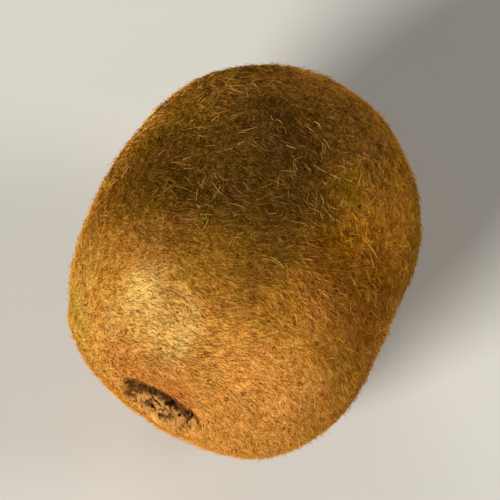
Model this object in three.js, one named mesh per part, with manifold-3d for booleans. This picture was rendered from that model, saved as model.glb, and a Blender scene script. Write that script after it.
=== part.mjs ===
// Kiwi fruit, lying on its side on a small flat spot. Millimetres, +Z up.
// The stem end points along -X and the blossom end along +X.
// The origin is under the middle of the fruit, on the surface it rests on.
import * as THREE from 'three';
import { mergeVertices } from 'three/addons/utils/BufferGeometryUtils.js';
import Module from 'manifold-3d';

// Driving dimensions of the fruit, measured on the skin, without its hairs.
const LENGTH = 61.5;
const WIDTH = 50.5;
const HEIGHT = 48.5;

// Fullness of each end: 2 is an ellipse, more is squarer. The stem end has square shoulders.
const BLOSSOM_END = { lengthPower: 2.4, radiusPower: 2.0 };
const STEM_END = { lengthPower: 3.2, radiusPower: 2.6 };

// The stem end is cut slightly askew: millimetres along X for each millimetre along Y.
const STEM_END_SLANT = 0.07;

// A round groove at the stem end surrounds the woody button where the stalk broke off.
const GROOVE_RADIUS = 6.1;
const GROOVE_WIDTH = 1.0;
const GROOVE_DEPTH = 1.1;
const BUTTON_DROP = 0.25;

// The scar sits a little off the axis. The middle of the stem end is moved over with it: fully
// inside the first radius, then less and less, and not at all outside the second.
const SCAR_OFFSET_Y = 0.6;
const SCAR_OFFSET_Z = 1.8;
const OFFSET_FADE_FROM = 9;
const OFFSET_FADE_TO = 21;

// The blossom end rises a little under the tuft of dried styles.
const TIP_RISE = 0.7;
const TIP_RADIUS = 5.5;

// The flat spot that the ripe fruit rests on.
const FLAT_DEPTH = 0.4;

// Fineness of the mesh: steps round the fruit, along its side and across each end.
const STEPS_ROUND = 56;
const STEPS_SIDE = 20;
const STEPS_STEM_CAP = 12;
const STEPS_BLOSSOM_CAP = 5;
const STEM_CAP_RADIUS = 8.4;
const BLOSSOM_CAP_RADIUS = 9;

const halfLength = LENGTH / 2;
const halfWidth = WIDTH / 2;

// Axial distance from the widest section to the bare superellipse, at one radius.
function endHeight(radius, end) {
  const rest = Math.max(0, 1 - (radius / halfWidth) ** end.radiusPower);
  return halfLength * rest ** (1 / end.lengthPower);
}

// The stem end: its superellipse, less the groove and the slight drop of the button.
function stemHeight(radius) {
  const groove = GROOVE_DEPTH * Math.exp(-(((radius - GROOVE_RADIUS) / GROOVE_WIDTH) ** 2));
  const button = radius < GROOVE_RADIUS ? BUTTON_DROP : 0;
  return endHeight(radius, STEM_END) - groove - button;
}

// The blossom end: its superellipse and the low swelling at its tip.
function blossomHeight(radius) {
  const tip = TIP_RISE * Math.exp(-((radius / TIP_RADIUS) ** 2));
  return endHeight(radius, BLOSSOM_END) + tip;
}

// Points on the side, from one angle to the other: 0 is the blossom pole, PI the stem pole.
function sidePoints(blossomRadius, stemRadius) {
  const from = Math.asin((blossomRadius / halfWidth) ** (BLOSSOM_END.radiusPower / 2));
  const to = Math.PI - Math.asin((stemRadius / halfWidth) ** (STEM_END.radiusPower / 2));
  const points = [];
  for (let step = 1; step < STEPS_SIDE; step += 1) {
    const angle = from + ((to - from) * step) / STEPS_SIDE;
    const end = angle < Math.PI / 2 ? BLOSSOM_END : STEM_END;
    const along = Math.abs(Math.cos(angle)) ** (2 / end.lengthPower);
    const radius = halfWidth * Math.sin(angle) ** (2 / end.radiusPower);
    points.push(new THREE.Vector2(radius, -Math.sign(Math.cos(angle)) * halfLength * along));
  }
  return points;
}

// Half outline of the fruit, from the blossom pole to the stem pole, both on the axis.
function outline() {
  const blossomCap = [];
  for (let step = 0; step <= STEPS_BLOSSOM_CAP; step += 1) {
    const radius = (BLOSSOM_CAP_RADIUS * step) / STEPS_BLOSSOM_CAP;
    blossomCap.push(new THREE.Vector2(radius, -blossomHeight(radius)));
  }
  const stemCap = [];
  for (let step = STEPS_STEM_CAP; step >= 0; step -= 1) {
    const radius = (STEM_CAP_RADIUS * step) / STEPS_STEM_CAP;
    stemCap.push(new THREE.Vector2(radius, stemHeight(radius)));
  }
  return [...blossomCap, ...sidePoints(BLOSSOM_CAP_RADIUS, STEM_CAP_RADIUS), ...stemCap];
}

// Moves each section along X in proportion to Y: fully at the stem end, not at the other.
function slantStemEnd(geometry) {
  const position = geometry.attributes.position;
  for (let index = 0; index < position.count; index += 1) {
    const x = position.getX(index);
    const weight = 0.5 - x / LENGTH;
    position.setX(index, x + STEM_END_SLANT * position.getY(index) * weight);
  }
}

// Moves the middle of the stem end over, and the scar with it.
function moveScar(geometry) {
  const position = geometry.attributes.position;
  for (let index = 0; index < position.count; index += 1) {
    const y = position.getY(index);
    const z = position.getZ(index);
    const radius = Math.hypot(y, (z * WIDTH) / HEIGHT);
    const atStemEnd = position.getX(index) < 0 ? 1 : 0;
    const fade = THREE.MathUtils.smoothstep(radius, OFFSET_FADE_FROM, OFFSET_FADE_TO);
    const share = atStemEnd * (1 - fade);
    position.setY(index, y + SCAR_OFFSET_Y * share);
    position.setZ(index, z + SCAR_OFFSET_Z * share);
  }
}

// Whole fruit before its flat spot: turned onto its side, made slightly oval, then slanted.
function fruitBody() {
  const geometry = new THREE.LatheGeometry(outline(), STEPS_ROUND);
  geometry.rotateZ(Math.PI / 2);
  geometry.scale(1, 1, HEIGHT / WIDTH);
  moveScar(geometry);
  slantStemEnd(geometry);
  return geometry;
}

// A block under the fruit whose top face is the plane of the flat spot.
function blockBelowFlat() {
  const depth = HEIGHT / 2;
  const geometry = new THREE.BoxGeometry(2 * LENGTH, 2 * WIDTH, depth);
  geometry.translate(0, 0, -HEIGHT / 2 + FLAT_DEPTH - depth / 2);
  return geometry;
}

const wasm = await Module();
wasm.setup();

// Closed solid of a three.js geometry, with shared vertices merged.
function toSolid(geometry) {
  const bare = geometry.clone();
  bare.deleteAttribute('normal');
  bare.deleteAttribute('uv');
  const merged = mergeVertices(bare, 1e-4);
  return new wasm.Manifold(new wasm.Mesh({
    numProp: 3,
    vertProperties: new Float32Array(merged.attributes.position.array),
    triVerts: new Uint32Array(merged.index.array),
  }));
}

// Three.js geometry of a solid.
function toGeometry(solid) {
  const mesh = solid.getMesh();
  const geometry = new THREE.BufferGeometry();
  geometry.setAttribute('position', new THREE.BufferAttribute(mesh.vertProperties, 3));
  geometry.setIndex(new THREE.BufferAttribute(mesh.triVerts, 1));
  geometry.computeVertexNormals();
  return geometry;
}

// Puts the middle of the geometry's underside at the origin.
function standOnOrigin(geometry) {
  geometry.computeBoundingBox();
  const { min, max } = geometry.boundingBox;
  geometry.translate(-(min.x + max.x) / 2, -(min.y + max.y) / 2, -min.z);
}

const fruit = toGeometry(toSolid(fruitBody()).subtract(toSolid(blockBelowFlat())));
standOnOrigin(fruit);

// Golden-brown skin with a short felt of hairs: rough, and not metal.
const furrySkin = new THREE.MeshStandardMaterial({ color: 0x9a6526, roughness: 0.9, metalness: 0 });

const kiwi = new THREE.Mesh(fruit, furrySkin);
kiwi.name = 'kiwi_fruit';

const group = new THREE.Group();
group.add(kiwi);

export default group;
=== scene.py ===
import math

import bpy
import numpy as np
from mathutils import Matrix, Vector


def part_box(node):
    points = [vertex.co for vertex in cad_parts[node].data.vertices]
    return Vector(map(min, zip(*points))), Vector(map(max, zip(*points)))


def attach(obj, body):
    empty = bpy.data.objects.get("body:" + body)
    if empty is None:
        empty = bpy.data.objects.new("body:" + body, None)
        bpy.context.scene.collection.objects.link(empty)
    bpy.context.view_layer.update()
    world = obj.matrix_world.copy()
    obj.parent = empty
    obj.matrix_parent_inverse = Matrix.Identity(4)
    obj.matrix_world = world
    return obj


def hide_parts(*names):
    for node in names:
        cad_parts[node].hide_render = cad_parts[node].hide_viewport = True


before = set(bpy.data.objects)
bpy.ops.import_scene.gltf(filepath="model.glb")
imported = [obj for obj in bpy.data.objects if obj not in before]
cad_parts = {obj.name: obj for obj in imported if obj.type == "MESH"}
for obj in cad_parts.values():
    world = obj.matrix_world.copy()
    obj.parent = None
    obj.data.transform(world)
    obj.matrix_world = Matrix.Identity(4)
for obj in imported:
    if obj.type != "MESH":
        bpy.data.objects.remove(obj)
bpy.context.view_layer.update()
scene = bpy.context.scene
scene.view_settings.view_transform = "Standard"

# ------------------------------------------------------------------------------------------ skin
# The thin dry skin of the fruit, grown in one piece over the flesh: square-shouldered at the stem
# end, rounder at the blossom end, a little flat where it lies. It is olive brown and finely felted,
# and a round groove is sunk into it about the scar of the stalk.

MM = 0.001
fruit_low, fruit_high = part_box("kiwi_fruit")
FLAT_DEPTH = 0.4 * MM
TIP_RISE = 0.7 * MM
TIP_RADIUS = 5.5 * MM
HALF_LENGTH = 30.75 * MM
HALF_WIDTH = (fruit_high.y - fruit_low.y) / 2
HALF_HEIGHT = (fruit_high.z - fruit_low.z + FLAT_DEPTH) / 2
AXIS_HEIGHT = fruit_high.z - HALF_HEIGHT
MIDDLE_X = fruit_high.x - TIP_RISE - HALF_LENGTH
BLOSSOM_LENGTH_POWER = 2.4
BLOSSOM_RADIUS_POWER = 2.0
STEM_LENGTH_POWER = 3.2
STEM_RADIUS_POWER = 2.6
STEM_SLANT = 0.07
GROOVE_RADIUS = 6.0 * MM
GROOVE_WIDTH = 1.3 * MM
GROOVE_DEPTH = 1.9 * MM
BUTTON_DROP = 0.55 * MM
LIP_HEIGHT = 0.22 * MM
LIP_WIDTH = 0.9 * MM
LIP_BEYOND_GROOVE = 2.1 * MM
SCAR_OFFSET_Y = 0.6 * MM
SCAR_OFFSET_Z = 1.8 * MM
OFFSET_FADE_FROM = 9 * MM
OFFSET_FADE_TO = 21 * MM
BROAD_LUMP = 0.20 * MM
SMALL_LUMP = 0.09 * MM
LUMPS_FULL_FROM = 12 * MM
SKIN_INSET = 0.25 * MM
SKIN_LIFT = 0.03 * MM


def ripple(points, wavelength, seed, waves=24):
    """Smooth noise about zero with a spread of one: the sum of plane sine waves that run in random
    directions, each of about the given wavelength, over the root of half their number."""
    draw = np.random.default_rng(seed)
    direction = draw.normal(size=(waves, 3))
    direction /= np.linalg.norm(direction, axis=1, keepdims=True)
    per_metre = 2 * np.pi / (wavelength * draw.uniform(0.7, 1.4, waves))
    phase = draw.uniform(0, 2 * np.pi, waves)
    swing = np.sin(points @ (direction * per_metre[:, None]).T + phase)
    return swing.sum(axis=-1) / math.sqrt(waves / 2)


def smooth_step(value, start, stop):
    """0 before start, 1 after stop, and three squares less two cubes of the share in between."""
    share = np.clip((value - start) / (stop - start), 0, 1)
    return share * share * (3 - 2 * share)


def outline(turn):
    """Place along the axis and radius of the half outline, for a turn from 0 at the blossom pole to
    pi at the stem pole: the cosine and the sine of the turn, each to the power of 2 over the
    fullness of that end, which is a superellipse."""
    blossom = turn < np.pi / 2
    cosine, sine = np.cos(turn), np.abs(np.sin(turn))
    length_power = np.where(blossom, BLOSSOM_LENGTH_POWER, STEM_LENGTH_POWER)
    radius_power = np.where(blossom, BLOSSOM_RADIUS_POWER, STEM_RADIUS_POWER)
    along = np.sign(cosine) * np.abs(cosine) ** (2 / length_power)
    radius = sine ** (2 / radius_power)
    return HALF_LENGTH * along, HALF_WIDTH * radius


def skin_at(turn, around):
    """Points of the skin for turns along the outline and angles around the axis: the outline swung
    round X, oval in section, moved over and slanted at the stem end, swollen at the tip and sunk at
    the groove by a bell curve of the radius, with a low lip outside it and a drop inside. Low lumps
    wave it about a small inset that leaves room for the hairs, and the flat spot cuts it."""
    along, radius = outline(turn)
    uneven = np.stack([np.cos(around), np.sin(around), 0 * around], axis=-1)
    groove_at = GROOVE_RADIUS * (1 + 0.035 * ripple(uneven, 1.4, 11))
    groove = GROOVE_DEPTH * (1 + 0.18 * ripple(uneven, 1.1, 12))
    groove = groove * np.exp(-(((radius - groove_at) / GROOVE_WIDTH) ** 2))
    groove = groove + BUTTON_DROP * smooth_step(-radius, -GROOVE_RADIUS, -0.7 * GROOVE_RADIUS)
    lip = LIP_HEIGHT * np.exp(-(((radius - groove_at - LIP_BEYOND_GROOVE) / LIP_WIDTH) ** 2))
    tip = TIP_RISE * np.exp(-((radius / TIP_RADIUS) ** 2))
    stem = along < 0
    x = along + np.where(stem, groove - lip, tip)
    moved = np.where(stem, 1 - smooth_step(radius, OFFSET_FADE_FROM, OFFSET_FADE_TO), 0)
    y = radius * np.cos(around) + SCAR_OFFSET_Y * moved
    z = radius * np.sin(around) * HALF_HEIGHT / HALF_WIDTH + SCAR_OFFSET_Z * moved
    x = x + STEM_SLANT * y * (0.5 - x / (2 * HALF_LENGTH))
    points = np.stack([MIDDLE_X + x, y, AXIS_HEIGHT + z], axis=-1)
    lumps = BROAD_LUMP * ripple(points, 21 * MM, 21) + SMALL_LUMP * ripple(points, 8 * MM, 22)
    away = np.stack([0.3 * along / HALF_LENGTH, np.cos(around), np.sin(around)], axis=-1)
    calm = smooth_step(radius, 0, LUMPS_FULL_FROM)
    points = points + away * ((lumps - SKIN_INSET) * calm)[..., None]
    points[..., 2] = np.maximum(points[..., 2], SKIN_LIFT)
    return points


def skin_frame(turn, around):
    """Point, outward normal, direction around the axis and direction towards the stem end: the last
    two are differences over a small step each way, and the normal is their cross product."""
    step = 1e-3
    here = skin_at(turn, around)
    ring = skin_at(turn, around + step) - skin_at(turn, around - step)
    run = skin_at(turn + step, around) - skin_at(turn - step, around)
    ring /= np.linalg.norm(ring, axis=-1, keepdims=True) + 1e-12
    run /= np.linalg.norm(run, axis=-1, keepdims=True) + 1e-12
    normal = np.cross(ring, run)
    normal /= np.linalg.norm(normal, axis=-1, keepdims=True) + 1e-12
    return here, -normal, ring, run


def turns_by_length(shares):
    """Turns at given shares of the outline's length, read from a fine table of that length."""
    turn = np.linspace(0, np.pi, 8001)
    along, radius = outline(turn)
    length = np.concatenate([[0], np.cumsum(np.hypot(np.diff(along), np.diff(radius)))])
    return np.interp(shares * length[-1], length, turn)


def build_mesh(name, points, triangles, corner_uv=None, **values):
    """An object at the origin from an array of points and one of triangles, smooth shaded, with an
    optional UV place for each corner and optional named numbers for each point. The corners are
    taken the other way round where the signed volume says that the faces look inwards."""
    points, triangles = np.asarray(points), np.asarray(triangles)
    first, second, third = (points[triangles[:, corner]] for corner in range(3))
    if np.einsum("ij,ij->", first, np.cross(second, third)) < 0:
        triangles = triangles[:, ::-1]
        corner_uv = None if corner_uv is None else corner_uv[:, ::-1]
    mesh = bpy.data.meshes.new(name)
    count = len(triangles)
    mesh.vertices.add(len(points))
    mesh.vertices.foreach_set("co", np.asarray(points, np.float32).ravel())
    mesh.loops.add(3 * count)
    mesh.loops.foreach_set("vertex_index", np.asarray(triangles, np.int32).ravel())
    mesh.polygons.add(count)
    mesh.polygons.foreach_set("loop_start", np.arange(0, 3 * count, 3, dtype=np.int32))
    mesh.update(calc_edges=True)
    mesh.polygons.foreach_set("use_smooth", np.ones(count, bool))
    if corner_uv is not None:
        layer = mesh.uv_layers.new(name="OFBake")
        layer.data.foreach_set("uv", np.asarray(corner_uv, np.float32).ravel())
    for key, numbers in values.items():
        held = mesh.attributes.new(key, "FLOAT", "POINT")
        held.data.foreach_set("value", np.asarray(numbers, np.float32).ravel())
    mesh.validate()
    made = bpy.data.objects.new(name, mesh)
    scene.collection.objects.link(made)
    return made


def capped_grid(rows, columns):
    """Triangles of a closed surface: rows of columns points that wrap round, then one point for the
    first pole and one for the last. Also the share along and around of each corner."""
    row, column = np.meshgrid(np.arange(rows - 1), np.arange(columns), indexing="ij")
    row, column = row.ravel(), column.ravel()
    beside = (column + 1) % columns
    a, b = row * columns + column, row * columns + beside
    c, d = a + columns, b + columns
    column_only = np.arange(columns)
    next_only = (column_only + 1) % columns
    first, last = rows * columns, rows * columns + 1
    end = (rows - 1) * columns
    full = np.ones(columns, int)
    triangles = np.concatenate([
        np.stack([a, b, d], 1), np.stack([a, d, c], 1),
        np.stack([first * full, next_only, column_only], 1),
        np.stack([last * full, end + column_only, end + next_only], 1),
    ])
    around = np.concatenate([
        np.stack([column, column + 1, column + 1], 1), np.stack([column, column + 1, column], 1),
        np.stack([column_only + 0.5, column_only + 1, column_only], 1),
        np.stack([column_only + 0.5, column_only, column_only + 1], 1),
    ]) / columns
    low, high = (row + 1) / (rows + 1), (row + 2) / (rows + 1)
    near, far = full / (rows + 1), full * rows / (rows + 1)
    along = np.concatenate([
        np.stack([low, low, high], 1), np.stack([low, high, high], 1),
        np.stack([0 * near, near, near], 1), np.stack([0 * far + 1, far, far], 1),
    ])
    return triangles, np.stack([around, along], axis=-1)


SKIN_COLUMNS = 380
SIDE_ROWS = 178
STEM_ROWS = 56
STEM_SHARE = 0.885
row_shares = np.concatenate([
    np.linspace(0, STEM_SHARE, SIDE_ROWS, endpoint=False), np.linspace(STEM_SHARE, 1, STEM_ROWS),
])
row_turns = turns_by_length(row_shares)
skin_turn, skin_around = np.meshgrid(
    row_turns[1:-1], np.arange(SKIN_COLUMNS) * 2 * np.pi / SKIN_COLUMNS, indexing="ij")
skin_points, skin_normal, _, _ = skin_frame(skin_turn, skin_around)
felt = 0.035 * MM * ripple(skin_points, 1.1 * MM, 31)
felt = felt + 0.03 * MM * ripple(skin_points, 2.3 * MM, 32)
skin_points = skin_points + skin_normal * felt[..., None]
skin_points[..., 2] = np.maximum(skin_points[..., 2], SKIN_LIFT)
poles = skin_at(np.array([1e-4, np.pi - 1e-4]), np.array([0.0, 0.0]))
poles[:, 1] = [0, SCAR_OFFSET_Y]
poles[:, 2] = [AXIS_HEIGHT, AXIS_HEIGHT + SCAR_OFFSET_Z]
skin_vertices = np.concatenate([skin_points.reshape(-1, 3), poles])
skin_triangles, skin_uv = capped_grid(len(row_turns) - 2, SKIN_COLUMNS)


def ragged_edge(points):
    """Wander of the border between bare scar and hairy skin: two noises of the place, and a shift
    that grows towards -Y, where the hair closes in over the groove."""
    overgrown = np.clip((0.4 * GROOVE_RADIUS - points[..., 1]) / GROOVE_RADIUS, 0, 1.4)
    wander = 0.45 * ripple(points, 4.5 * MM, 33) + 0.30 * ripple(points, 1.6 * MM, 34)
    return (wander + 1.1 * overgrown) * MM


SCAR_BEGINS, SCAR_FULL = 7.9 * MM, 6.8 * MM
TIP_BEGINS, TIP_FULL = 5.2 * MM, 2.2 * MM
skin_along, skin_radius = outline(np.append(skin_turn.ravel(), [0, np.pi]))
ragged = skin_radius + ragged_edge(skin_vertices)
scar_share = np.where(skin_along < 0, smooth_step(-ragged, -SCAR_BEGINS, -SCAR_FULL), 0)
tip_share = np.where(skin_along > 0, smooth_step(-ragged, -TIP_BEGINS, -TIP_FULL), 0)
skin = build_mesh("kiwi_skin", skin_vertices, skin_triangles, skin_uv,
                  scar=scar_share, tip=tip_share)


def place(tree, kind, settings=None, sockets=None):
    """A new shader node with its settings, and its sockets set by name or number: another node's
    output is linked, and anything else becomes the socket's own value."""
    made = tree.nodes.new(kind)
    for name, value in (settings or {}).items():
        setattr(made, name, value)
    for name, value in (sockets or {}).items():
        if isinstance(value, bpy.types.NodeSocket):
            tree.links.new(value, made.inputs[name])
        else:
            made.inputs[name].default_value = value
    return made


def blend_colours(tree, share, first, second, how="MIX"):
    """The colour output of a Mix node: share of the second colour over the first."""
    made = place(
        tree, "ShaderNodeMix", {"data_type": "RGBA", "blend_type": how, "clamp_factor": True},
        {0: share, 6: first, 7: second})
    return made.outputs[2]


def noise_share(tree, place_at, per_metre, start, stop, detail=2.0, warp=0.0):
    """A noise of the given number of grains a metre, stretched from 0 at start to 1 at stop."""
    grain = place(tree, "ShaderNodeTexNoise", None, {
        "Vector": place_at, "Scale": per_metre, "Detail": detail, "Distortion": warp})
    level = place(tree, "ShaderNodeMapRange", {"interpolation_type": "SMOOTHSTEP"}, {
        "Value": grain.outputs["Fac"], "From Min": start, "From Max": stop})
    return level.outputs["Result"]


def new_group(name, inputs, outputs):
    """An empty shader node group with named sockets: (name, socket type, first value) for each."""
    tree = bpy.data.node_groups.new(name, "ShaderNodeTree")
    for label, kind, value in inputs:
        socket = tree.interface.new_socket(name=label, in_out="INPUT", socket_type=kind)
        socket.default_value = value
    for label, kind in outputs:
        tree.interface.new_socket(name=label, in_out="OUTPUT", socket_type=kind)
    return tree, tree.nodes.new("NodeGroupInput").outputs, tree.nodes.new("NodeGroupOutput").inputs


# Zones of colour on the skin and its hairs, in metres: the middle of each, the distance up to which its
# tint is full, the distance where it ends, and the tint. Most of them are painted light or painted
# shade, some laid over a hue of the skin's own. A gold laid over the last of them is a painted
# highlight.
# Painted shade over the top of the fruit, with the skin a little darker there too.
DARK_TOP_AND_PAINTED_SHADE = ((0.004, 0.0025, 0.047), 0.006, 0.0265, (0.31, 0.32, 0.35))
# Painted shade along the upper back flank.
PAINTED_SHADE_BACK = ((-0.002, 0.0195, 0.038), 0.004, 0.018, (0.60, 0.55, 0.42))
# Yellower skin on the flank by the stem, brightened there with painted light.
YELLOW_AND_PAINTED_LIGHT_FLANK = ((-0.021, 0.019, 0.027), 0.004, 0.016, (1.0, 1.22, 1.35))
# Painted light on the near flank by the blossom end.
PAINTED_LIGHT_BLOSSOM_FLANK = ((0.008, -0.0195, 0.037), 0.003, 0.013, (1.36, 1.40, 1.0))
# Painted shadow, ruddier as well, on the middle of the near flank.
PAINTED_SHADOW_MIDDLE_FLANK = ((-0.004, -0.020, 0.038), 0.005, 0.015, (0.76, 0.66, 0.46))
# Painted light on the near flank by the stem end.
PAINTED_LIGHT_STEM_FLANK = ((-0.017, -0.015, 0.037), 0.003, 0.0125, (1.32, 1.34, 1.60))
# Painted shade on the shoulder by the scar, with the skin ruddier there too.
RUDDY_AND_PAINTED_SHADE_SHOULDER = ((-0.0275, 0.001, 0.035), 0.003, 0.011, (0.78, 0.64, 0.60))
WARM_STEM_HALF = ((-0.030, -0.006, 0.028), 0.006, 0.026, (1.0, 1.0, 1.35))
# A golden patch of skin on the shoulder, with a painted highlight mixed over it in gold.
GOLDEN_AND_PAINTED_HIGHLIGHT_SHOULDER = ((-0.0226, 0.003, 0.0408), 0.001, 0.0092, (1.06, 1.38, 1.5))
PAINTED_HIGHLIGHT_GOLD = (0.86, 0.64, 0.23, 1)


def coat_of_fruit():
    """The colour of skin or hair by its tone and its place: dark, middle or pale by tone, more olive in
    broad patches towards the blossom end and ruddier in small ones, multiplied by the tint of each
    zone, most of them painted light or painted shade, and gilded with a painted highlight in the last.
    A zone is a ball with a soft edge, and noise shakes its outline."""
    colour, number = "NodeSocketColor", "NodeSocketFloat"
    tree, given, out = new_group(
        "coat_of_fruit",
        [("Tone", number, 0.5), ("Dark", colour, (0, 0, 0, 1)), ("Middle", colour, (0, 0, 0, 1)),
         ("Pale", colour, (0, 0, 0, 1)), ("Patches and painted light", number, 1.0)],
        [("Colour", colour)])
    spot = place(tree, "ShaderNodeTexCoord").outputs["Object"]
    upper = place(tree, "ShaderNodeMapRange", None, {
        "Value": given["Tone"], "From Min": 0.5, "From Max": 1.0}).outputs["Result"]
    lower = place(tree, "ShaderNodeMapRange", None, {
        "Value": given["Tone"], "From Min": 0.0, "From Max": 0.5}).outputs["Result"]
    base = blend_colours(tree, lower, given["Dark"], given["Middle"])
    base = blend_colours(tree, upper, base, given["Pale"])

    broad = noise_share(tree, spot, 90.0, 0.38, 0.62, 3.0, 0.4)
    along_x = place(tree, "ShaderNodeSeparateXYZ", None, {0: spot}).outputs["X"]
    to_stem = place(tree, "ShaderNodeMapRange", {"interpolation_type": "SMOOTHSTEP"}, {
        "Value": along_x, "From Min": 0.0, "From Max": -0.024}).outputs["Result"]
    olive = place(tree, "ShaderNodeMath", {"operation": "MULTIPLY_ADD", "use_clamp": True}, {
        0: to_stem, 1: -0.75, 2: broad}).outputs[0]
    olive = place(tree, "ShaderNodeMath", {"operation": "MULTIPLY"}, {
        0: olive, 1: given["Patches and painted light"]}).outputs[0]
    base = blend_colours(tree, olive, base, (0.84, 0.93, 0.46, 1), "MULTIPLY")
    small = noise_share(tree, spot, 420.0, 0.35, 0.68, 3.0, 0.3)
    ruddy = place(tree, "ShaderNodeMath", {"operation": "MULTIPLY"}, {0: small, 1: 0.4}).outputs[0]
    base = blend_colours(tree, ruddy, base, (1.0, 0.82, 0.74, 1), "MULTIPLY")

    drift = place(tree, "ShaderNodeTexNoise", None, {"Vector": spot, "Scale": 75.0, "Detail": 3.0})
    drift = place(tree, "ShaderNodeVectorMath", {"operation": "MULTIPLY_ADD"}, {
        0: drift.outputs["Color"], 1: (0.020, 0.020, 0.020), 2: (-0.010, -0.010, -0.010)}).outputs[0]
    shaken = place(tree, "ShaderNodeVectorMath", {"operation": "ADD"}, {0: spot, 1: drift}).outputs[0]
    # Each zone multiplies in its tint, and most of them are painted light or painted shade on the
    # fruit.
    for middle, full, none, tint in (
            DARK_TOP_AND_PAINTED_SHADE, PAINTED_SHADE_BACK, YELLOW_AND_PAINTED_LIGHT_FLANK, PAINTED_LIGHT_BLOSSOM_FLANK, PAINTED_SHADOW_MIDDLE_FLANK,
            PAINTED_LIGHT_STEM_FLANK, RUDDY_AND_PAINTED_SHADE_SHOULDER, WARM_STEM_HALF, GOLDEN_AND_PAINTED_HIGHLIGHT_SHOULDER):
        away = place(tree, "ShaderNodeVectorMath", {"operation": "DISTANCE"}, {
            0: shaken, 1: middle}).outputs["Value"]
        share = place(tree, "ShaderNodeMapRange", {"interpolation_type": "SMOOTHSTEP"}, {
            "Value": away, "From Min": none, "From Max": full}).outputs["Result"]
        share = place(tree, "ShaderNodeMath", {"operation": "MULTIPLY"}, {
            0: share, 1: given["Patches and painted light"]}).outputs[0]
        base = blend_colours(tree, share, base, (*tint, 1), "MULTIPLY")
    # The gold laid over the last zone is a painted highlight.
    painted_highlight = place(tree, "ShaderNodeMath", {"operation": "MULTIPLY"}, {0: share, 1: 0.34}).outputs[0]
    base = blend_colours(tree, painted_highlight, base, PAINTED_HIGHLIGHT_GOLD)
    tree.links.new(base, out["Colour"])
    return tree


coat = coat_of_fruit()


def new_material(name):
    """A node material with only its shader and output, and the tree and shader to build on."""
    made = bpy.data.materials.new(name)
    made.use_nodes = True
    return made, made.node_tree, made.node_tree.nodes["Principled BSDF"]


def skin_material():
    """Felted skin: tones from a fine and a coarse noise, paler towards the stem end, dark specks, bark
    inside the scar, a dark tip, and a fine felt relief."""
    made, tree, shader = new_material("felted_skin")
    spot = place(tree, "ShaderNodeTexCoord").outputs["Object"]
    fine = noise_share(tree, spot, 2300.0, 0.30, 0.72, 4.0, 0.6)
    coarse = noise_share(tree, spot, 700.0, 0.32, 0.70, 3.0, 0.4)
    tone = blend_colours(tree, 0.45, fine, coarse)
    along_x = place(tree, "ShaderNodeSeparateXYZ", None, {0: spot}).outputs["X"]
    paler = place(tree, "ShaderNodeMapRange", {"interpolation_type": "SMOOTHSTEP"}, {
        "Value": along_x, "From Min": -0.006, "From Max": -0.024, "To Max": 0.30}).outputs["Result"]
    tone = place(tree, "ShaderNodeMath", {"operation": "ADD", "use_clamp": True}, {
        0: tone, 1: paler}).outputs[0]
    # The coat group brings in its zones of painted light and painted shade.
    colour = place(tree, "ShaderNodeGroup", {"node_tree": coat}, {
        "Tone": tone, "Dark": (0.11, 0.045, 0.007, 1), "Middle": (0.27, 0.117, 0.017, 1),
        "Pale": (0.44, 0.212, 0.038, 1)}).outputs["Colour"]
    specks = noise_share(tree, spot, 1300.0, 0.66, 0.76, 1.0)
    colour = blend_colours(tree, specks, colour, (0.045, 0.022, 0.007, 1))
    scar = place(tree, "ShaderNodeAttribute", {"attribute_name": "scar"}).outputs["Fac"]
    bark = blend_colours(tree, coarse, (0.052, 0.021, 0.005, 1), (0.15, 0.059, 0.013, 1))
    colour = blend_colours(tree, scar, colour, bark)
    tip = place(tree, "ShaderNodeAttribute", {"attribute_name": "tip"}).outputs["Fac"]
    colour = blend_colours(tree, tip, colour, (0.060, 0.030, 0.012, 1))
    bump = place(tree, "ShaderNodeBump", None, {
        "Strength": 0.55, "Distance": 0.0003, "Height": fine})
    rough = place(tree, "ShaderNodeMapRange", None, {
        "Value": coarse, "To Min": 0.72, "To Max": 0.95}).outputs["Result"]
    tree.links.new(colour, shader.inputs["Base Color"])
    tree.links.new(rough, shader.inputs["Roughness"])
    tree.links.new(bump.outputs["Normal"], shader.inputs["Normal"])
    shader.inputs["Specular IOR Level"].default_value = 0.01
    return made


skin.data.materials.append(skin_material())
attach(skin, "root")
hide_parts("kiwi_fruit")

# ------------------------------------------------------------------------------------ stalk scar
# The woody button left in the middle of the groove where the stalk broke away: a dished disc with a
# steep side, a torn rim and a sunken core, dry and cracked, dark in its pits, partly its dead tissue
# and partly painted shade, and paler on its crests.

BUTTON_RADIUS = 4.6 * MM
BUTTON_ROWS = 30
BUTTON_COLUMNS = 120


def stem_end_at(radius, angle, out):
    """Points over the stem end: a radius and an angle in its slanted face, and a height out from
    the ungrooved superellipse along -X."""
    rest = 1 - (radius / HALF_WIDTH) ** STEM_RADIUS_POWER
    x = -HALF_LENGTH * np.maximum(rest, 0) ** (1 / STEM_LENGTH_POWER) - out
    y = radius * np.cos(angle) + SCAR_OFFSET_Y
    z = radius * np.sin(angle) * HALF_HEIGHT / HALF_WIDTH + SCAR_OFFSET_Z
    return np.stack([MIDDLE_X + x + STEM_SLANT * y, y, AXIS_HEIGHT + z], axis=-1)


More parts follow.
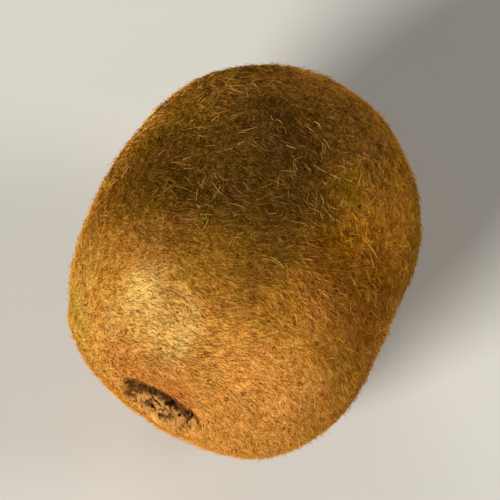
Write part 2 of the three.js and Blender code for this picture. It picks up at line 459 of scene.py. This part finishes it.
def button_at(share, angle):
    """Points of the button, and the height of each out from the end face. Share 0 to 0.5 crosses its
    face from the middle to the edge, and 0.5 to 1 its hidden back. The face is a dish with a
    bell-curved torn rim, a small core, fine cracks and a steep side."""
    face = share <= 0.5
    part = np.where(face, 2 * share, 2 - 2 * share)
    flat = np.stack([part * np.cos(angle), part * np.sin(angle), 0 * part], axis=-1)
    torn = ripple(flat, 0.50, 51)
    radius = BUTTON_RADIUS * part * (1 + 0.05 * part * ripple(flat, 0.9, 52))
    rim = 0.62 * np.exp(-(((part - 0.76) / 0.14) ** 2)) * (1 + 0.5 * torn)
    core = 0.45 * np.exp(-(((part - 0.22) / 0.10) ** 2)) - 0.35 * np.exp(-((part / 0.12) ** 2))
    cracks = 0.15 * ripple(flat, 0.26, 53) + 0.07 * ripple(flat, 0.12, 54)
    cracks = cracks * smooth_step(-part, -1.0, -0.8)
    side = 1.5 * smooth_step(part, 0.88, 1.0)
    out = np.where(face, -0.50 + rim + core + cracks - side, -2.0) * MM
    return stem_end_at(radius, angle, out), out


button_share = np.linspace(0, 1, BUTTON_ROWS + 2)
button_rows, button_angle = np.meshgrid(
    button_share[1:-1], np.arange(BUTTON_COLUMNS) * 2 * np.pi / BUTTON_COLUMNS, indexing="ij")
button_body, button_height = button_at(button_rows, button_angle)
button_ends, end_height = button_at(np.array([0.0, 1.0]), np.array([0.0, 0.0]))
button_points = np.concatenate([button_body.reshape(-1, 3), button_ends])
# Height out from the end face, which darkens the pits in the colour, partly as painted shade.
crest = smooth_step(np.append(button_height.ravel(), end_height), -0.85 * MM, 0.25 * MM)
button_triangles, button_uv = capped_grid(BUTTON_ROWS, BUTTON_COLUMNS)
button = build_mesh("stem_button", button_points, button_triangles, button_uv, crest=crest)


def button_material():
    """Dead woody tissue: dark in the pits, partly its own colour and partly painted shade, and pale on
    the crests, stirred by a fine warped grain, with a bump of the same grain."""
    made, tree, shader = new_material("broken_stalk_wood")
    spot = place(tree, "ShaderNodeTexCoord").outputs["Object"]
    height = place(tree, "ShaderNodeAttribute", {"attribute_name": "crest"}).outputs["Fac"]
    fibre = noise_share(tree, spot, 1700.0, 0.30, 0.70, 4.0, 1.2)
    stirred = place(tree, "ShaderNodeMath", {"operation": "MULTIPLY_ADD", "use_clamp": True}, {
        0: fibre, 1: 0.5, 2: height}).outputs[0]
    low = place(tree, "ShaderNodeMapRange", None, {
        "Value": stirred, "From Min": 0.25, "From Max": 0.75}).outputs["Result"]
    high = place(tree, "ShaderNodeMapRange", None, {
        "Value": stirred, "From Min": 0.75, "From Max": 1.0}).outputs["Result"]
    # Near-black in the pits, partly the dead tissue and partly painted shade.
    colour = blend_colours(tree, low, (0.018, 0.008, 0.003, 1), (0.13, 0.054, 0.014, 1))
    colour = blend_colours(tree, high, colour, (0.32, 0.155, 0.040, 1))
    bump = place(tree, "ShaderNodeBump", None, {
        "Strength": 0.6, "Distance": 0.0003, "Height": fibre})
    tree.links.new(colour, shader.inputs["Base Color"])
    tree.links.new(bump.outputs["Normal"], shader.inputs["Normal"])
    shader.inputs["Roughness"].default_value = 0.9
    shader.inputs["Specular IOR Level"].default_value = 0.04
    return made


button.data.materials.append(button_material())
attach(button, "root")

# ----------------------------------------------------------------------------------- dried sepals
# Leathery flakes of the flower's sepals, dried on about the scar, and the scraps torn from them. They
# are rooted in the button, cupped and curled, brown at the root, and a few have a pale straw end.

FLAKE_ROWS = 26
FLAKE_COLUMNS = 28


def flake_at(share, angle, seat, turned, length, width, curl, cup, thick, seed):
    """Points of one closed flake. Its middle line starts at the seat (radius, angle, height) and
    runs in the turned direction on an arc that curls out of the end face. Across it is a flat
    loop: the cosine of the angle times a width that swells and narrows by a sine, cupped by its
    square, and the sine times half the thickness. The edge is torn by noise."""
    radius, at, height = seat
    arc = curl * share
    forward = length * share * np.sinc(arc / np.pi)
    rise = length * share * (1 - np.cos(arc)) / np.where(np.abs(arc) < 1e-6, 1, arc)
    place_on = np.stack([share * 3, np.cos(angle), np.sin(angle) * 0.2 + seed], axis=-1)
    torn = 1 + 0.16 * ripple(place_on, 0.8, seed) + 0.10 * ripple(place_on, 0.35, seed + 1)
    across = np.cos(angle) * width / 2 * np.sin(np.pi * share ** 0.75) ** 0.55 * torn
    lifted = cup * (2 * across / width) ** 2 + thick / 2 * np.sin(angle) * np.sin(np.pi * share) ** 0.3
    lifted = lifted + 0.12 * MM * ripple(place_on, 1.1, seed + 2) * share
    heading = at + turned
    y = radius * np.cos(at) + forward * np.cos(heading) - across * np.sin(heading)
    z = radius * np.sin(at) + forward * np.sin(heading) + across * np.cos(heading)
    return stem_end_at(np.hypot(y, z), np.arctan2(z, y), height + rise + lifted)


def grow_flake(name, seat, turned, length, width, curl, cup, thick, seed, paleness):
    """A flake as an object, with its share of length kept for its colour, less on a dull one."""
    share = np.linspace(0, 1, FLAKE_ROWS + 2)
    rows, angle = np.meshgrid(
        share[1:-1], np.arange(FLAKE_COLUMNS) * 2 * np.pi / FLAKE_COLUMNS, indexing="ij")
    shape = (seat, turned, length, width, curl, cup, thick, seed)
    points = np.concatenate([
        flake_at(rows, angle, *shape).reshape(-1, 3),
        flake_at(np.array([0.0, 1.0]), np.array([0.0, 0.0]), *shape)])
    triangles, uv = capped_grid(FLAKE_ROWS, FLAKE_COLUMNS)
    along = np.append(rows.ravel(), [0.0, 1.0]) * paleness
    flake = build_mesh(name, points, triangles, uv, along=along)
    flake.data.materials.append(sepal_dry)
    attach(flake, "root")


def sepal_material():
    """Dried sepal: brown at its root to pale straw at its torn end, with darker veins and spots."""
    made, tree, shader = new_material("dried_sepal")
    spot = place(tree, "ShaderNodeTexCoord").outputs["Object"]
    along = place(tree, "ShaderNodeAttribute", {"attribute_name": "along"}).outputs["Fac"]
    vein = noise_share(tree, spot, 1500.0, 0.35, 0.68, 3.0, 1.5)
    blotch = noise_share(tree, spot, 620.0, 0.34, 0.62, 2.0, 0.4)
    veined = place(tree, "ShaderNodeMath", {"operation": "MULTIPLY"}, {0: vein, 1: along}).outputs[0]
    base = blend_colours(tree, along, (0.13, 0.050, 0.012, 1), (0.58, 0.34, 0.075, 1))
    base = blend_colours(tree, veined, base, (0.40, 0.20, 0.040, 1))
    rusty = place(tree, "ShaderNodeMath", {"operation": "MULTIPLY"}, {0: blotch, 1: 0.45}).outputs[0]
    base = blend_colours(tree, rusty, base, (0.15, 0.058, 0.014, 1))
    bump = place(tree, "ShaderNodeBump", None, {
        "Strength": 0.5, "Distance": 0.0002, "Height": vein})
    tree.links.new(base, shader.inputs["Base Color"])
    tree.links.new(bump.outputs["Normal"], shader.inputs["Normal"])
    shader.inputs["Roughness"].default_value = 0.8
    shader.inputs["Specular IOR Level"].default_value = 0.04
    return made


sepal_dry = sepal_material()
SEPALS = 5
PALE_SEPALS = (0, 3)
SEPAL_SEAT_RADIUS = 2.6 * MM
SEPAL_SEAT_HEIGHT = -0.35 * MM
SEPAL_THICKNESS = 0.22 * MM
FIRST_SEPAL_ANGLE = math.radians(98)
SCRAPS = 6
PALE_SCRAP = 1
SCRAP_THICKNESS = 0.24 * MM
sepal_draw = np.random.default_rng(61)
for number in range(SEPALS):
    seat_angle = FIRST_SEPAL_ANGLE + 2 * math.pi * number / SEPALS + sepal_draw.uniform(-0.16, 0.16)
    grow_flake(
        f"sepal_{number + 1}", (SEPAL_SEAT_RADIUS, seat_angle, SEPAL_SEAT_HEIGHT),
        sepal_draw.uniform(-1.0, 1.0), sepal_draw.uniform(2.0, 2.7) * MM,
        sepal_draw.uniform(1.2, 1.8) * MM, sepal_draw.uniform(0.4, 0.9),
        sepal_draw.uniform(0.15, 0.4) * MM, SEPAL_THICKNESS, 70 + 5 * number,
        1.0 if number in PALE_SEPALS else 0.30)
for number in range(SCRAPS):
    seat_angle = 2 * math.pi * number / SCRAPS + sepal_draw.uniform(-0.3, 0.3)
    grow_flake(
        f"scar_flake_{number + 1}",
        (sepal_draw.uniform(1.4, 4.4) * MM, seat_angle, sepal_draw.uniform(-0.40, -0.10) * MM),
        sepal_draw.uniform(0.9, 2.2), sepal_draw.uniform(1.4, 2.4) * MM,
        sepal_draw.uniform(0.8, 1.4) * MM, sepal_draw.uniform(0.2, 0.9),
        sepal_draw.uniform(0.1, 0.35) * MM, SCRAP_THICKNESS, 110 + 5 * number,
        0.95 if number == PALE_SCRAP else 0.35)

# ------------------------------------------------------------------------------- short fur of hairs
# Short stiff hairs that cover the whole skin but the scar and the tip, matted into small tufts. They
# grow from the skin and lie nearly flat: round the fruit by the stem end, tousled by the blossom end.

STEM_BARE_RADIUS = 7.7 * MM
TIP_BARE_RADIUS = 1.6 * MM
FLOOR_CLEARANCE = 0.05 * MM
ROOT_DEPTH = 0.12 * MM
SKIN_CURVE_RADIUS = 22 * MM
SHORT_FUR_PARTS = 3
SHORT_HAIRS_EACH = 19000


def strand_faces(rings, sides):
    """Triangles of one strand: its root cap, the sides of each stretch and its point, with the
    place of each corner on a flat map, sides across and length up."""
    triangles = [[0, side + 1, side] for side in range(1, sides - 1)]
    uv = [[[0, 0], [1, 0], [0.5, 0.06]] for _ in triangles]
    for ring in range(rings - 1):
        for side in range(sides):
            a, b = sides * ring + side, sides * ring + (side + 1) % sides
            low, high = ring / rings, (ring + 1) / rings
            left, right = side / sides, (side + 1) / sides
            triangles += [[a, b, b + sides], [a, b + sides, a + sides]]
            uv += [[[left, low], [right, low], [right, high]],
                   [[left, low], [right, high], [left, high]]]
    for side in range(sides):
        a, b = sides * (rings - 1) + side, sides * (rings - 1) + (side + 1) % sides
        left, right, low = side / sides, (side + 1) / sides, (rings - 1) / rings
        triangles.append([a, b, sides * rings])
        uv.append([[left, low], [right, low], [(left + right) / 2, 1]])
    return np.array(triangles), np.array(uv, float)


def build_strands(name, line, width, side_way, up_way, sides, tone):
    """Closed tapered strands in one mesh. Each line of points but its last carries a ring of corners
    at its width, spread in the plane of the side and up ways, and the last point closes it. Every
    strand has its own tone and its own square of the flat map."""
    count, rings = width.shape
    corner = np.arange(sides) * 2 * np.pi / sides
    spoke = np.cos(corner)[:, None] * side_way[:, None] + np.sin(corner)[:, None] * up_way[:, None]
    body = line[:, :-1, None] + width[:, :, None, None] * spoke[:, None]
    points = np.concatenate([body.reshape(count, -1, 3), line[:, -1:]], axis=1)
    points[..., 2] = np.maximum(points[..., 2], FLOOR_CLEARANCE)
    triangles, uv = strand_faces(rings, sides)
    per_strand = sides * rings + 1
    triangles = (triangles[None] + per_strand * np.arange(count)[:, None, None]).reshape(-1, 3)
    cells = math.ceil(math.sqrt(count))
    cell = np.stack([np.arange(count) % cells, np.arange(count) // cells], axis=1)
    corner_uv = (cell[:, None, None] + 0.1 + 0.8 * uv[None]) / cells
    along = np.append(np.repeat(np.arange(rings) / rings, sides), 1.0)
    return build_mesh(name, points.reshape(-1, 3), triangles, corner_uv.reshape(-1, 3, 2),
                      tone=np.repeat(tone, per_strand), along=np.tile(along, count))


def hair_roots(count, draw):
    """Turns and angles of roots spread evenly over the skin: the outline's length is cut where the
    running area, radius times length, reaches evenly drawn shares. The tip stays bare, and the scar
    inside its ragged border: a few roots too many are drawn, and those inside it are dropped."""
    share = np.linspace(0, 1, 6001)
    turn = turns_by_length(share)
    along, radius = outline(turn)
    bare = radius < np.where(along < 0, STEM_BARE_RADIUS - 1.2 * MM, TIP_BARE_RADIUS)
    area = np.cumsum(np.where(bare, 0, radius))
    many = math.ceil(1.03 * count)
    drawn = draw.uniform(0, area[-1], many)
    turn, around = np.interp(drawn, area, turn), draw.uniform(0, 2 * np.pi, many)
    along, radius = outline(turn)
    ragged = radius + ragged_edge(skin_at(turn, around))
    kept = np.flatnonzero((along > 0) | (ragged > STEM_BARE_RADIUS))[:count]
    return turn[kept], around[kept]


def flow_angle(points, draw):
    """Lie of the hairs, as an angle from the direction round the fruit: a swirl that grows towards the
    blossom end and sways with the sine of X, broad and narrow eddies that grow with it, and a
    little of each hair's own."""
    to_blossom = smooth_step(points[:, 0], -20 * MM, 16 * MM)
    broad = 0.45 * ripple(points, 13 * MM, 41) * (0.4 + to_blossom)
    narrow = 0.42 * ripple(points, 2.4 * MM, 42) * (0.45 + 0.95 * to_blossom)
    own = draw.normal(0, 0.25, len(points)) * (0.6 + to_blossom)
    swirl = 0.55 * to_blossom - 0.12 + to_blossom * np.sin(points[:, 0] / (9 * MM))
    return swirl + broad + narrow + own


def grow_hairs(name, count, rings, length, lift, root_width, seed, paler=0.0):
    """Hairs as strands of three sides. A hair's line leaves its root at the skin's normal and bends
    over along the lie: reach grows with the share along, height with a rising then levelling
    curve, less the fall of the fruit's own curve, and a sideways curl with the share's square. Its
    width falls to a point with the root of the share that is left."""
    draw = np.random.default_rng(seed)
    turn, around = hair_roots(count, draw)
    root, normal, ring, run = skin_frame(turn, around)
    along, radius = outline(turn)
    lie = flow_angle(root, draw)
    reach_way = np.cos(lie)[:, None] * ring + np.sin(lie)[:, None] * run
    side_way = np.cross(normal, reach_way)
    tuft = ripple(root, 1.3 * MM, 43)
    near_scar = np.where(along < 0, smooth_step(radius, 7 * MM, 10.5 * MM), 1)
    size = draw.uniform(length[0], length[1], count) * (1 + 0.12 * tuft) * (0.5 + 0.5 * near_scar)
    rise = draw.uniform(0, 1, count) ** 2 * (lift[1] - lift[0]) + lift[0]
    rise = rise * np.clip(1 + 0.35 * tuft, 0.4, 1.9)
    under = smooth_step(root[:, 2], 0.3 * MM, 5 * MM)
    rise = rise * (0.25 + 0.75 * under)
    curl = draw.normal(0, 0.24, count) * size
    share = np.arange(rings + 1) / rings
    reach = size[:, None] * share * np.cos(0.5 * share)
    fall = (size[:, None] * share) ** 2 / (2 * SKIN_CURVE_RADIUS)
    height = rise[:, None] * (1 - (1 - share) ** 1.7) - fall
    height[:, 0] = -ROOT_DEPTH
    line = (root[:, None] + reach[..., None] * reach_way[:, None] + height[..., None] * normal[:, None]
            + (curl[:, None] * share ** 2)[..., None] * side_way[:, None])
    width = root_width * draw.uniform(0.75, 1.25, count)[:, None] * np.sqrt(1 - share[:-1] * 0.8)
    mixed = 0.16 * tuft + 0.08 * ripple(root, 5 * MM, 44) + draw.normal(0, 0.15, count)
    blossom_side = smooth_step(root[:, 0], -22 * MM, -2 * MM)
    tone = 0.375 + 0.065 * blossom_side + mixed * (0.45 + 0.55 * blossom_side)
    return build_strands(name, line, width, side_way, normal, 3, np.clip(tone + paler, 0, 1))


def hair_material(name, dark, middle, pale, patches_and_painted_light=1.0):
    """Hair: darker at the root and paler to the point, toned hair by hair, with the coat's hues and its
    painted light and shade as far as they are wanted."""
    made, tree, shader = new_material(name)
    tone = place(tree, "ShaderNodeAttribute", {"attribute_name": "tone"}).outputs["Fac"]
    along = place(tree, "ShaderNodeAttribute", {"attribute_name": "along"}).outputs["Fac"]
    tone = place(tree, "ShaderNodeMath", {"operation": "MULTIPLY_ADD", "use_clamp": True}, {
        0: along, 1: 0.30, 2: tone}).outputs[0]
    tone = place(tree, "ShaderNodeMath", {"operation": "SUBTRACT", "use_clamp": True}, {
        0: tone, 1: 0.14}).outputs[0]
    colour = place(tree, "ShaderNodeGroup", {"node_tree": coat}, {
        "Tone": tone, "Dark": dark, "Middle": middle, "Pale": pale,
        "Patches and painted light": patches_and_painted_light}).outputs["Colour"]
    rough = place(tree, "ShaderNodeMapRange", None, {
        "Value": along, "To Min": 0.8, "To Max": 0.6}).outputs["Result"]
    tree.links.new(colour, shader.inputs["Base Color"])
    tree.links.new(rough, shader.inputs["Roughness"])
    shader.inputs["Specular IOR Level"].default_value = 0.01
    return made


down_material = hair_material(
    "short_golden_hair", (0.16, 0.060, 0.005, 1), (0.52, 0.218, 0.018, 1), (0.82, 0.45, 0.098, 1))
for number in range(SHORT_FUR_PARTS):
    fur = grow_hairs(f"short_fur_{number + 1}", SHORT_HAIRS_EACH, 2, (0.7 * MM, 1.5 * MM),
                     (0.10 * MM, 0.45 * MM), 0.052 * MM, 101 + number)
    fur.data.materials.append(down_material)
    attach(fur, "root")

# ------------------------------------------------------------------------------------- long hairs
# Longer, paler guard hairs over the short fur. They curl and stand a little prouder, so they make
# the soft edge of the fruit.

GUARD_HAIRS = 10500
guard_material = hair_material(
    "long_straw_hair", (0.20, 0.080, 0.007, 1), (0.56, 0.25, 0.028, 1), (0.86, 0.51, 0.13, 1))
guard = grow_hairs("long_fur", GUARD_HAIRS, 3, (1.1 * MM, 2.1 * MM), (0.18 * MM, 0.80 * MM),
                   0.042 * MM, 201, 0.03)
guard.data.materials.append(guard_material)
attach(guard, "root")

# ------------------------------------------------------------------------------------ loose wisps
# The longest hairs: few, pale and limp. They lie loosely on the fur in flat curves, and they take less
# of the painted light and shade, so they keep their straw colour on the dark side of the fruit.

WISPS = 1600
wisp_material = hair_material(
    "pale_wisp_hair", (0.36, 0.145, 0.030, 1), (0.60, 0.29, 0.068, 1), (0.84, 0.48, 0.155, 1), 0.42)
wisps = grow_hairs("loose_wisps", WISPS, 5, (1.5 * MM, 3.4 * MM), (0.30 * MM, 0.65 * MM),
                   0.046 * MM, 301, 0.05)
wisps.data.materials.append(wisp_material)
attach(wisps, "root")

# ------------------------------------------------------------------------------------ dried styles
# The stubs of the flower's many styles, still fixed in a tuft at the blossom end: brittle, curled
# outwards, nearly black at the foot and rusty at the end.

STYLES = 70
STYLE_STEPS = 6
GOLDEN_ANGLE = 2.399963
style_draw = np.random.default_rng(81)
style_radius = style_draw.uniform(0.3, 3.9, STYLES) * MM
tip_turns = np.linspace(0, 0.6, 2000)
style_turn = np.interp(style_radius, outline(tip_turns)[1], tip_turns)
style_around = np.arange(STYLES) * GOLDEN_ANGLE + style_draw.uniform(-0.3, 0.3, STYLES)
style_root, style_normal, style_ring, style_run = skin_frame(style_turn, style_around)
style_swing = style_draw.normal(0, 0.7, STYLES)[:, None]
style_way = np.cos(style_swing) * style_run + np.sin(style_swing) * style_ring
style_side = np.cross(style_normal, style_way)
# Each stub's reach follows the sine of its lean, its height the cosine, and its curl the square of
# the share along it. Its foot is sunk into the skin.
style_share = np.arange(STYLE_STEPS + 1) / STYLE_STEPS
style_size = style_draw.uniform(1.4, 3.3, STYLES)[:, None] * MM
style_lean = style_draw.uniform(0.6, 1.35, STYLES)[:, None] * style_share
style_reach = style_size * np.sin(style_lean) * 0.8 * style_share ** 0.4
style_height = style_size * 0.42 * style_share * np.cos(style_lean)
style_height[:, 0] = -0.2 * MM
style_curl = style_draw.normal(0, 0.25, STYLES)[:, None] * style_size * style_share ** 2
style_line = (
    style_root[:, None] + style_reach[..., None] * style_way[:, None]
    + style_height[..., None] * style_normal[:, None] + style_curl[..., None] * style_side[:, None])
style_width = style_draw.uniform(0.13, 0.22, STYLES)[:, None] * MM * (1 - 0.45 * style_share[:-1])
styles = build_strands("dried_styles", style_line, style_width, style_side, style_normal, 6,
                       style_draw.uniform(0.1, 0.9, STYLES))
styles.data.materials.append(hair_material(
    "dried_style", (0.035, 0.014, 0.005, 1), (0.17, 0.072, 0.022, 1), (0.46, 0.22, 0.075, 1)))
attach(styles, "root")

# ------------------------------------------------------------------------------------ camera, floor
# The camera looks down on the fruit from beside its stem end, through a long lens. The fruit lies
# on a plain pale board, wide enough to fill every view.

CAMERA_AZIMUTH = math.radians(-65)
CAMERA_ELEVATION = math.radians(64.5)
CAMERA_LENS = 200
CAMERA_DISTANCE = 0.437
centre = (fruit_low + fruit_high) / 2
back = Vector((
    math.sin(CAMERA_AZIMUTH) * math.cos(CAMERA_ELEVATION),
    -math.cos(CAMERA_AZIMUTH) * math.cos(CAMERA_ELEVATION),
    math.sin(CAMERA_ELEVATION)))
camera = bpy.data.objects.new("camera", bpy.data.cameras.new("camera"))
camera.data.lens = CAMERA_LENS
camera.data.clip_start = 0.01
camera.location = centre + back * CAMERA_DISTANCE
camera.rotation_mode = "QUATERNION"
camera.rotation_quaternion = (-back).to_track_quat("-Z", "Y")
scene.collection.objects.link(camera)
scene.camera = camera


def floor_material():
    """Plain pale matt board, with the faintest mottle."""
    made, tree, shader = new_material("pale_board")
    spot = place(tree, "ShaderNodeTexCoord").outputs["Object"]
    mottle = noise_share(tree, spot, 9.0, 0.3, 0.7)
    colour = blend_colours(tree, mottle, (0.50, 0.495, 0.48, 1), (0.525, 0.52, 0.505, 1))
    tree.links.new(colour, shader.inputs["Base Color"])
    shader.inputs["Roughness"].default_value = 0.9
    shader.inputs["Specular IOR Level"].default_value = 0.01
    return made


FLOOR_HALF = 4.0
corners = np.array([[-1, -1, 0], [1, -1, 0], [1, 1, 0], [-1, 1, 0]]) * FLOOR_HALF
floor = build_mesh("floor", corners, [[0, 1, 2], [0, 2, 3]])
floor.data.materials.append(floor_material())

# ------------------------------------------------------------------------------------------ lights
# A strong soft lamp at the stem end, two weaker ones at the near side and the blossom end, and a
# dim pale room, which looks brighter to the camera than it shines on the fruit.

LAMP_SPREAD = math.radians(25)
LAMP_DISTANCE = 1.6


def soft_lamp(name, direction, strength, tint):
    """A broad even lamp that shines on the fruit from a direction, with soft-edged shadows."""
    lamp = bpy.data.objects.new(name, bpy.data.lights.new(name, "SUN"))
    lamp.data.angle = LAMP_SPREAD
    lamp.data.energy = strength
    lamp.data.color = tint
    way = Vector(direction).normalized()
    lamp.location = centre + LAMP_DISTANCE * way
    lamp.rotation_mode = "QUATERNION"
    lamp.rotation_quaternion = (-way).to_track_quat("-Z", "Y")
    scene.collection.objects.link(lamp)


soft_lamp("key_lamp", (-0.86, 0.27, 0.38), 7.2, (1.0, 0.97, 0.90))
soft_lamp("side_lamp", (0.35, -0.80, 0.32), 2.0, (1.0, 0.95, 0.86))
soft_lamp("back_lamp", (0.76, 0.58, 0.26), 1.7, (1.0, 0.95, 0.86))
room = bpy.data.worlds.new("room")
room.use_nodes = True
wall = room.node_tree.nodes["Background"]
wall.inputs["Color"].default_value = (1.0, 0.97, 0.92, 1)
seen = place(room.node_tree, "ShaderNodeLightPath").outputs["Is Camera Ray"]
strength = place(room.node_tree, "ShaderNodeMapRange", None, {
    "Value": seen, "To Min": 0.11, "To Max": 0.70}).outputs["Result"]
room.node_tree.links.new(strength, wall.inputs["Strength"])
scene.world = room
